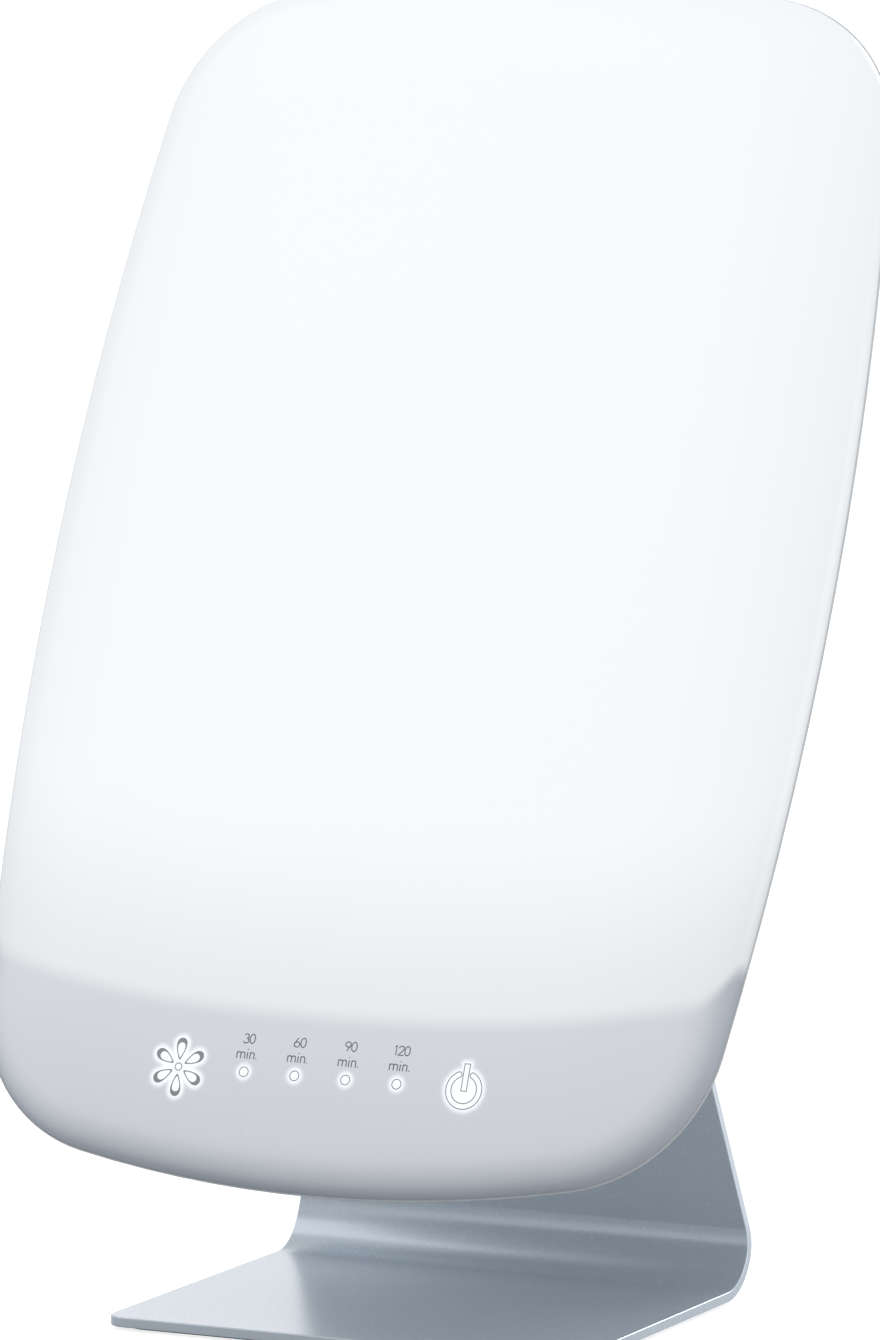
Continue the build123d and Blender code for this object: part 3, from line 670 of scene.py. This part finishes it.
def build_flower(shape):
    """Petals round a small ring."""
    centre = (SIGN_MIDDLE - SYMBOL_OFFSET, SIGN_HEIGHT)
    for number in range(PETAL_COUNT):
        add_petal(shape, centre, math.radians(90 + 360 / PETAL_COUNT * number))
    ring = arc(centre, FLOWER_RING, 0, 360, 24)[:-1]
    add_band(shape, *line_sides(ring, SIGN_LINE, True), True)


def build_power(shape):
    """Power sign in outline: a ring open at the top and a bar standing in the gap."""
    cx, cy = SIGN_MIDDLE + SYMBOL_OFFSET, SIGN_HEIGHT
    middle, end_radius = (POWER_OUTER + POWER_INNER) / 2, (POWER_OUTER - POWER_INNER) / 2

    def end_of_ring(angle, start, end):
        centre = (cx + middle * math.cos(math.radians(angle)), cy + middle * math.sin(math.radians(angle)))
        return arc(centre, end_radius, start, end, 8)[1:-1]

    left, right = 90 + POWER_GAP, 90 - POWER_GAP
    outline = arc((cx, cy), POWER_OUTER, left, right + 360, 56)
    outline += end_of_ring(right, right, right + 180)
    outline += arc((cx, cy), POWER_INNER, right + 360, left, 44)
    outline += end_of_ring(left, left + 180, left + 360)
    add_band(shape, *line_sides(outline, SIGN_LINE, True), True)
    half, low, high = POWER_BAR
    bar = [(cx - half, cy + low), (cx + half, cy + low), (cx + half, cy + high), (cx - half, cy + high)]
    add_band(shape, *line_sides(bar, SIGN_LINE, True), True)


def build_dots(shape):
    """Rings round the timer lights."""
    for x in DOT_PLACES:
        ring = arc((x, SIGN_HEIGHT), DOT_RADIUS, 0, 360, 32)[:-1]
        add_band(shape, *line_sides(ring, SIGN_LINE, True), True)


def build_labels(shape):
    """Minutes above the timer lights."""
    for x, minutes in zip(DOT_PLACES, MINUTES):
        add_label(shape, minutes, x, NUMBER_BASE, NUMBER_HEIGHT, NUMBER_SPREAD)
        add_label(shape, "min.", x, WORD_BASE, WORD_HEIGHT, WORD_SPREAD)


# ---------------------------------------------------------------- screws of the stand's back
# places to the side of the hinge axis and up from it
SCREW_PLACES = [(across * MM, up * MM) for across in (-20, 20) for up in (-44.7, -24.7)]
SCREW_HEAD = 3.8 * MM
SCREW_SHANK = 2.0 * MM
SCREW_LENGTH = 8.0 * MM
SCREW_BEVEL = 0.15 * MM
SOCKET_HALF = 1.25 * MM  # half width across the socket's flats
SOCKET_DEPTH = 1.3 * MM
SCREW_POINTS = 36


def build_stand_screws(shape):
    """Countersunk screws: z runs out of the sheet's back."""
    turns = [2 * math.pi * step / SCREW_POINTS for step in range(SCREW_POINTS)]
    sixth = math.pi / 3
    hexagon = [SOCKET_HALF / math.cos((turn + sixth / 2) % sixth - sixth / 2) for turn in turns]
    profile = (
        ([SCREW_SHANK] * SCREW_POINTS, -SCREW_LENGTH),
        ([SCREW_SHANK] * SCREW_POINTS, SCREW_SHANK - SCREW_HEAD),
        ([SCREW_HEAD - SCREW_BEVEL] * SCREW_POINTS, -SCREW_BEVEL),
        ([SCREW_HEAD - 2 * SCREW_BEVEL] * SCREW_POINTS, 0.0),
        ([reach + SCREW_BEVEL for reach in hexagon], 0.0),
        (hexagon, -SCREW_BEVEL),
        (hexagon, -SOCKET_DEPTH),
    )
    for x, y in SCREW_PLACES:
        rings = [
            [
                shape.verts.new((x + reach * math.cos(turn), y + reach * math.sin(turn), level))
                for reach, turn in zip(reaches, turns)
            ]
            for reaches, level in profile
        ]
        bridge(shape, rings)
        shape.faces.new(rings[0])
        shape.faces.new(rings[-1])


# ---------------------------------------------------------------- finishes of the front
SHELL_ROUGHNESS = 0.26
ROLL_SPAN = (4.0 * MM, 12.5 * MM)  # heights between which the lit area's lower edge rises
ROLL_LIFT = 13.5 * MM
ROLL_SHADE_SPAN = (3.5 * MM, 13.5 * MM)  # heights between which painted shade darkens the unlit plastic towards the rim
# share of the painted roll shade at the rim
ROLL_SHADE_SHARE = 0.5
FOOT_HEIGHT = 2.4 * MM  # of the part of the roll that less light reaches
FOOT_LIGHT = 0.85
EDGE_BOW = (0.47, 13.5)  # rise of the lit area's lower edge with the square and the fourth power of x
SIDE_POWER = 6.0  # how late the light falls off towards the sides
LOW_SPAN = (-10.0 * MM, 85.0 * MM)  # heights above that edge between which the light grows to its full level
LIT_SHADE = 0.18  # share of the plastic's own colour where it is lit
PETAL_LIGHT = (5.0 * MM, 9.2 * MM, 2.3 * MM)  # inner end, outer end and half width of the light at a petal
GLOW_REACH = 3.4 * MM
GLOW_FALL = 1.7  # exponent of the light's fall away from a sign


def opal_finish():
    """Opal front: lit from inside down to the strip, with light around the signs in the strip."""
    light = light_settings()
    finish = Finish("opal_plastic", light.shell_colour, SHELL_ROUGHNESS, Specular_IOR_Level=0.4, IOR=1.49)
    # a clear skin that takes up more light the flatter it is looked through
    skin = {"Weight": 1.0, "IOR": 1.0, "Roughness": SHELL_ROUGHNESS, "Tint": (*light.skin_tint, 1)}
    for socket, value in skin.items():
        finish.shader.inputs["Coat " + socket].default_value = value
    x, y, height = finish.place(HEAD_PLACE)
    # the lit area's lower edge bows up to the sides, and more steeply where it runs down the roll
    bowed = x * x * EDGE_BOW[0] + (x * x * x * x) * EDGE_BOW[1]
    lift = height.fade(*ROLL_SPAN, ROLL_LIFT, 0.0)
    above = y - bowed - lift - light.strip_top
    lit = above.fade(-light.softness / 2, light.softness / 2)
    sides = (abs(x) * (1 / head_settings().half_width)).power(SIDE_POWER) * -light.edge_loss + 1.0
    low = above.fade(*LOW_SPAN, 1 - light.low_loss, 1.0)
    face = lit * sides * low
    # light that leaks round the signs, from the distance to the nearest dot, power sign or petal
    across, up = x - SIGN_MIDDLE, y - SIGN_HEIGHT
    nearest = abs(abs(abs(across) - DOT_PITCH) - DOT_PITCH / 2)
    dots = distance(nearest, up) - DOT_RADIUS
    aside = across - SYMBOL_OFFSET
    half, _, top = POWER_BAR
    bar = distance((abs(aside) - half).higher_of(0.0), (abs(up - top / 2) - top / 2).higher_of(0.0))
    power = (distance(aside, up) - POWER_OUTER).lower_of(bar)
    aside = across + SYMBOL_OFFSET
    reach = distance(aside, up)
    half_turn = math.pi / PETAL_COUNT
    turned = (up.join("ARCTAN2", aside) + half_turn).join("PINGPONG", half_turn)
    along = reach * turned.join("COSINE")
    start, end, half = PETAL_LIGHT
    beyond = (along - end).higher_of(along * -1.0 + start).higher_of(0.0)
    petals = distance(beyond, reach * turned.join("SINE")) - half
    flower = petals.lower_of(reach - FLOWER_RING)
    glow = dots.lower_of(power).lower_of(flower).fade(0.0, GLOW_REACH, 1.0, 0.0).power(GLOW_FALL)
    # less light reaches the roll's foot, along the rim
    foot = height.fade(0.0, FOOT_HEIGHT, FOOT_LIGHT, 1.0)
    total = face * foot * light.lit_level + glow * light.glow_level
    finish.link(total.socket, finish.shader.inputs["Emission Strength"])
    finish.shader.inputs["Emission Color"].default_value = (*light.lit_colour, 1)
    # painted shade: the unlit plastic turns darker and bluer on the roll towards the rim
    roll_shade_mask = height.fade(*ROLL_SHADE_SPAN, ROLL_SHADE_SHARE, 0.0)
    finish.colour_between(roll_shade_mask, light.roll_shade_colour, light.shell_colour)
    # the lit plastic reflects less than it gives off, so that its own light sets its level
    finish.colour_between(lit, shade(light.shell_colour, LIT_SHADE))
    finish.bump(finish.noise(1.1 * MM, detail=2.0), 0.004 * MM, strength=0.25)
    roughness = (SHELL_ROUGHNESS - 0.015, SHELL_ROUGHNESS + 0.015)
    finish.vary_roughness(finish.noise(25 * MM, detail=2.0), *roughness)
    return finish


def ink_finish(name, colour):
    """Pad-printed ink, faintly uneven."""
    finish = Finish(name, colour, 0.5, Specular_IOR_Level=0.3)
    finish.vary_colour(finish.noise(0.5 * MM), shade(colour, 1.08), shade(colour, 0.92))
    finish.bump(finish.noise(0.2 * MM), 0.003 * MM, strength=0.3)
    return finish


# ---------------------------------------------------------------- operators
BLACK = (0.02, 0.02, 0.022)
NICKEL = (0.62, 0.60, 0.56)
SIDE_EDGE_HIGHLIGHT = 1.4  # how much brighter the sheet's side cut edges are than its faces: their milling, with a painted highlight on top


def dress(nodes, finish):
    """Give carried-over CAD nodes a finish."""
    for name in nodes:
        node = frame["nodes"][name]
        node.data.materials.clear()
        node.data.materials.append(finish.material)


class LAMP_OT_front_shell(bpy.types.Operator):
    """Opal front shell with its lit face"""

    bl_idname = "lamp.front_shell"
    bl_label = "Front shell"

    def execute(self, context):
        s = head_settings()
        stations = rim_stations()

        def build(shape):
            inside = roll_points(s.front_rise - s.shell_wall, s.shell_wall)
            outside = roll_points(s.front_rise)
            inner_edge = s.rim_width + s.shell_wall
            profile = [(inner_edge + inward, height) for inward, height in reversed(inside)]
            profile += [(s.rim_width + inward, height) for inward, height in outside]
            rings = [head_ring(shape, stations, inward, height) for inward, height in profile]
            bridge(shape, rings)
            shape.faces.new(rings[0])
            shape.faces.new(rings[-1])

        mesh = mesh_of("front_shell_opal", build)
        piece = new_piece("front_shell_opal", mesh, HEAD, opal_finish(), smooth_below=50.0)
        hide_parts("front_shell")
        return {"FINISHED"}


class LAMP_OT_signs(bpy.types.Operator):
    """Printed signs of the control strip"""

    bl_idname = "lamp.signs"
    bl_label = "Signs"

    def execute(self, context):
        light = light_settings()
        ink = ink_finish("sign_ink", light.ink_colour)
        label_ink = ink_finish("label_ink", light.label_colour)
        for name, build, finish in (
            ("sign_flower", build_flower, ink),
            ("sign_power", build_power, ink),
            ("sign_dots", build_dots, ink),
            ("sign_labels", build_labels, label_ink),
        ):
            new_piece(name, mesh_of(name, build), HEAD, finish)
        return {"FINISHED"}


class LAMP_OT_rear_housing(bpy.types.Operator):
    """Rear housing and power inlet"""

    bl_idname = "lamp.rear_housing"
    bl_label = "Rear housing"

    def execute(self, context):
        dress(["rear_housing"], moulded_plastic("housing_white", body_settings().housing_colour))
        dress(["dc_jack"], moulded_plastic("inlet_black", BLACK, 0.5))
        dress(["jack_nut"], plated_steel("nickel_plate", NICKEL))
        return {"FINISHED"}


class LAMP_OT_stand(bpy.types.Operator):
    """Bent sheet stand and its foot mat"""

    bl_idname = "lamp.stand"
    bl_label = "Stand"

    def execute(self, context):
        body = body_settings()
        sheet = blasted_metal("anodised_sheet", body.metal_colour, body.metal_roughness)
        # painted highlight on the faces that look left or right, the sheet's side cut edges, on top of the
        # brightness of their milling
        sheet.colour_between(sheet.sideways().fade(0.5, 0.9), shade(body.metal_colour, SIDE_EDGE_HIGHLIGHT))
        dress(["stand_sheet"], sheet)
        dress(["foot_mat"], rubber("mat_rubber", body.mat_colour))
        return {"FINISHED"}


class LAMP_OT_hinge(bpy.types.Operator):
    """Friction hinge between stand and head"""

    bl_idname = "lamp.hinge"
    bl_label = "Hinge"

    def execute(self, context):
        body = body_settings()
        dress(["hinge_knuckle"], blasted_metal("cast_knuckle", (0.50, 0.53, 0.56), 0.45, 0.4 * MM, 0.02 * MM))
        dress(["hinge_caps"], moulded_plastic("cap_grey", body.cap_colour))
        steel = plated_steel("hinge_steel", (0.56, 0.57, 0.58))
        dress(["hinge_bracket", "hinge_shaft", "spring_washers"], steel)
        dress(["hinge_nut"], plated_steel("nut_plate", NICKEL))
        dress(["hinge_bushes"], moulded_plastic("bush_plastic", (0.72, 0.70, 0.62)))
        dress(["friction_washers"], rubber("friction_disc", (0.03, 0.028, 0.026)))
        return {"FINISHED"}


class LAMP_OT_screws(bpy.types.Operator):
    """Screws; those on the stand's back have hexagon sockets"""

    bl_idname = "lamp.screws"
    bl_label = "Screws"

    def execute(self, context):
        zinc = plated_steel("screw_zinc", (0.42, 0.43, 0.44))
        shown = "knuckle_screws"
        dress([name for name in frame["nodes"] if name.endswith("_screws") and name != shown], zinc)
        mesh = mesh_of("stand_screws", build_stand_screws)
        piece = new_piece("stand_screws", mesh, STAND, zinc, STAND_BACK)
        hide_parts(shown)
        return {"FINISHED"}


class LAMP_OT_inner_parts(bpy.types.Operator):
    """Light box, boards and leads inside the head"""

    bl_idname = "lamp.inner_parts"
    bl_label = "Inner parts"

    def execute(self, context):
        white = moulded_plastic("tray_white", (0.84, 0.84, 0.84), 0.5)
        dress(["reflector_tray", "light_guide_block", "led_strips"], white)
        dress(["diffuser_sheet"], moulded_plastic("diffuser_opal", (0.86, 0.87, 0.86), 0.6))
        dress(["chassis_plate"], blasted_metal("chassis_mill", (0.72, 0.73, 0.74), 0.4, 0.6 * MM))
        board = moulded_plastic("board_green", (0.02, 0.10, 0.045), 0.35)
        dress(["control_board", "driver_board"], board)
        dress(["led_packages", "indicator_leds"], moulded_plastic("led_resin", (0.80, 0.76, 0.50), 0.25))
        dress(["touch_pads"], rubber("pad_foam", BLACK))
        dress(["driver_inductors"], moulded_plastic("ferrite", (0.02, 0.02, 0.02), 0.6))
        dress(["driver_capacitors"], blasted_metal("capacitor_can", (0.10, 0.12, 0.22), 0.4))
        dress(["lead_plugs"], moulded_plastic("nylon", (0.78, 0.76, 0.66), 0.5))
        leads = ["power_lead", "control_lead", "led_lead", "led_jumpers"]
        dress(leads, moulded_plastic("lead_jacket", (0.74, 0.74, 0.72), 0.45))
        return {"FINISHED"}


LIGHTS = {  # place, target and width of each; its power is a setting
    "key": ((-2.1, -1.2, 2.6), (0.0, 0.0, 0.25), 2.6),
    "back": ((0.5, 2.6, 1.1), (0.0, 0.0, 0.2), 1.2),
    "far": ((-1.2, 2.4, 0.7), (0.0, 0.0, 0.15), 1.6),
    "side": ((2.3, 0.6, 0.6), (0.0, 0.0, 0.15), 1.2),
}
FLOOR_HALF = 12.0
FLOOR_MIRRORED = 0.3  # share of the floor's white that shows in reflections
SENSOR_HEIGHT, LENS = 36.0, 237.6
CAMERA_TARGET = Vector((0.0404, -0.0640, 0.2679))
CAMERA_TURN = math.radians(25.765)
CAMERA_DROP = math.radians(7.039)
CAMERA_AWAY = 3.3974


def aimed(target, place):
    """Rotation that points a light or camera at `place` towards `target`."""
    return (Vector(target) - Vector(place)).to_track_quat("-Z", "Y").to_euler()


class LAMP_OT_stage(bpy.types.Operator):
    """Floor, lights and camera"""

    bl_idname = "lamp.stage"
    bl_label = "Stage"

    def execute(self, context):
        studio = context.scene.lamp_studio
        self.floor(studio)
        self.world(studio)
        for name, (place, target, width) in LIGHTS.items():
            self.light(name, place, target, width, getattr(studio, name + "_power"))
        self.camera(context)
        context.scene.view_settings.view_transform = "Standard"
        return {"FINISHED"}

    def seen(self, tree, mirrored):
        """1 where a surface is looked at, `mirrored` in reflections, and 0 where it lights something."""
        path = tree.nodes.new("ShaderNodeLightPath")
        reflections = Field(tree, path.outputs["Is Glossy Ray"]) * mirrored
        return reflections.higher_of(Field(tree, path.outputs["Is Camera Ray"]))

    def floor(self, studio):
        finish = Finish("floor_paper", studio.floor_colour, 0.9, Specular_IOR_Level=0.0)
        finish.bump(finish.noise(3 * MM), 0.02 * MM, strength=0.2)
        finish.shader.inputs["Emission Color"].default_value = (1, 1, 1, 1)
        lift = self.seen(finish.tree, FLOOR_MIRRORED) * studio.floor_white
        finish.link(lift.socket, finish.shader.inputs["Emission Strength"])
        mesh = mesh_of("floor", lambda shape: bmesh.ops.create_grid(shape, size=FLOOR_HALF))
        mesh.materials.append(finish.material)
        floor = bpy.data.objects.new("floor", mesh)
        bpy.context.scene.collection.objects.link(floor)

    def world(self, studio):
        world = bpy.data.worlds.new("studio")
        bpy.context.scene.world = world
        world.use_nodes = True
        tree = world.node_tree
        background = tree.nodes["Background"]
        background.inputs["Color"].default_value = (1, 1, 1, 1)
        strength = self.seen(tree, 1.0) * (1 - studio.ambient) + studio.ambient
        tree.links.new(strength.socket, background.inputs["Strength"])

    def light(self, name, place, target, width, power):
        lamp = bpy.data.lights.new(name, "AREA")
        lamp.shape, lamp.size, lamp.energy = "DISK", width, power
        holder = bpy.data.objects.new(name, lamp)
        bpy.context.scene.collection.objects.link(holder)
        holder.location = place
        holder.rotation_euler = aimed(target, place)

    def camera(self, context):
        data = bpy.data.cameras.new("camera")
        data.sensor_fit, data.sensor_height, data.lens = "VERTICAL", SENSOR_HEIGHT, LENS
        data.clip_end = 60
        camera = bpy.data.objects.new("camera", data)
        context.scene.collection.objects.link(camera)
        level = math.cos(CAMERA_DROP)
        look = Vector((-math.sin(CAMERA_TURN) * level, math.cos(CAMERA_TURN) * level, -math.sin(CAMERA_DROP)))
        camera.location = CAMERA_TARGET - look * CAMERA_AWAY
        camera.rotation_euler = look.to_track_quat("-Z", "Y").to_euler()
        context.scene.camera = camera


class LAMP_PT_panel(bpy.types.Panel):
    """Steps that dress the lamp"""

    bl_idname = "LAMP_PT_panel"
    bl_label = "Light Therapy Lamp"
    bl_space_type = "VIEW_3D"
    bl_region_type = "UI"
    bl_category = "Lamp"

    def draw(self, context):
        for step in STEPS:
            self.layout.operator(step.bl_idname)
        for name in SETTINGS:
            box = self.layout.box()
            group = getattr(context.scene, name)
            for prop in group.bl_rna.properties:
                if prop.identifier not in ("rna_type", "name"):
                    box.prop(group, prop.identifier)


STEPS = (
    LAMP_OT_front_shell,
    LAMP_OT_signs,
    LAMP_OT_rear_housing,
    LAMP_OT_stand,
    LAMP_OT_hinge,
    LAMP_OT_screws,
    LAMP_OT_inner_parts,
    LAMP_OT_stage,
)
SETTINGS = {
    "lamp_head": LampHeadSettings,
    "lamp_light": LampLightSettings,
    "lamp_body": LampBodySettings,
    "lamp_studio": LampStudioSettings,
}
CLASSES = (*SETTINGS.values(), *STEPS, LAMP_PT_panel)


def register():
    for item in CLASSES:
        bpy.utils.register_class(item)
    for name, group in SETTINGS.items():
        setattr(bpy.types.Scene, name, PointerProperty(type=group))


def unregister():
    for name in SETTINGS:
        delattr(bpy.types.Scene, name)
    for item in reversed(CLASSES):
        bpy.utils.unregister_class(item)


def main():
    register()
    for step in STEPS:
        group, name = step.bl_idname.split(".")
        getattr(getattr(bpy.ops, group), name)()


if __name__ == "__main__":
    main()
